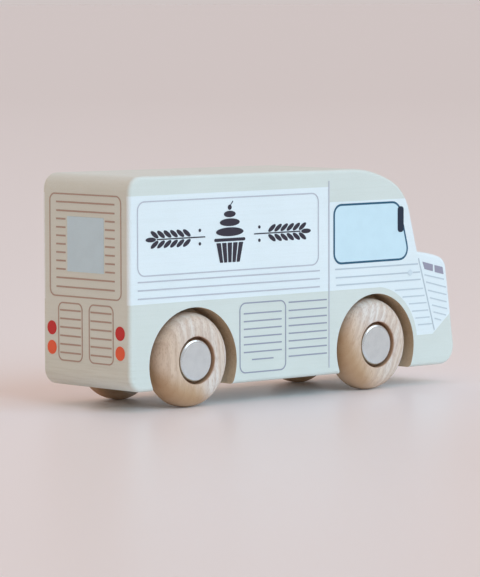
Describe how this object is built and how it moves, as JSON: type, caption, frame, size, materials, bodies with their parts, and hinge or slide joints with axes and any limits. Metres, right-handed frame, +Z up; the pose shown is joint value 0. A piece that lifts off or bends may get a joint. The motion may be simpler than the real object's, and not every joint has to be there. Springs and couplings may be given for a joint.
{
  "type": "wooden toy delivery van",
  "caption": "Small solid wooden toy delivery van with a box body, rounded cab and free-turning turned wheels on metal axles with push-on hub caps.",
  "frame": {"origin": "on the ground under the middle of the van's box", "axes": "+X forward towards the nose, +Y to the van's left, +Z up"},
  "size_m": [0.1152, 0.0354, 0.0589],
  "materials": {
    "painted_wood": "satin printed paint over solid wood",
    "bare_beech": "bare turned beech, lightly sanded",
    "axle_steel": "drawn steel rod",
    "cap_chrome": "bright nickel plating"
  },
  "bodies": {
    "van": {"body": "painted_wood", "rear_axle": "axle_steel", "front_axle": "axle_steel", "cap_rear_right": "cap_chrome", "cap_rear_left": "cap_chrome", "cap_front_right": "cap_chrome", "cap_front_left": "cap_chrome"},
    "rear_right": {"wheel_rear_right": "bare_beech"},
    "rear_left": {"wheel_rear_left": "bare_beech"},
    "front_right": {"wheel_front_right": "bare_beech"},
    "front_left": {"wheel_front_left": "bare_beech"}
  },
  "joints": [
    {"name": "rear_right_spin", "type": "hinge", "parent": "van", "child": "rear_right", "pos_m": [-0.0358, -0.01405, 0.012], "axis": [0, 1, 0], "continuous": true},
    {"name": "rear_left_spin", "type": "hinge", "parent": "van", "child": "rear_left", "pos_m": [-0.0358, 0.01405, 0.012], "axis": [0, 1, 0], "continuous": true},
    {"name": "front_right_spin", "type": "hinge", "parent": "van", "child": "front_right", "pos_m": [0.0279, -0.01405, 0.012], "axis": [0, 1, 0], "continuous": true},
    {"name": "front_left_spin", "type": "hinge", "parent": "van", "child": "front_left", "pos_m": [0.0279, 0.01405, 0.012], "axis": [0, 1, 0], "continuous": true}
  ]
}
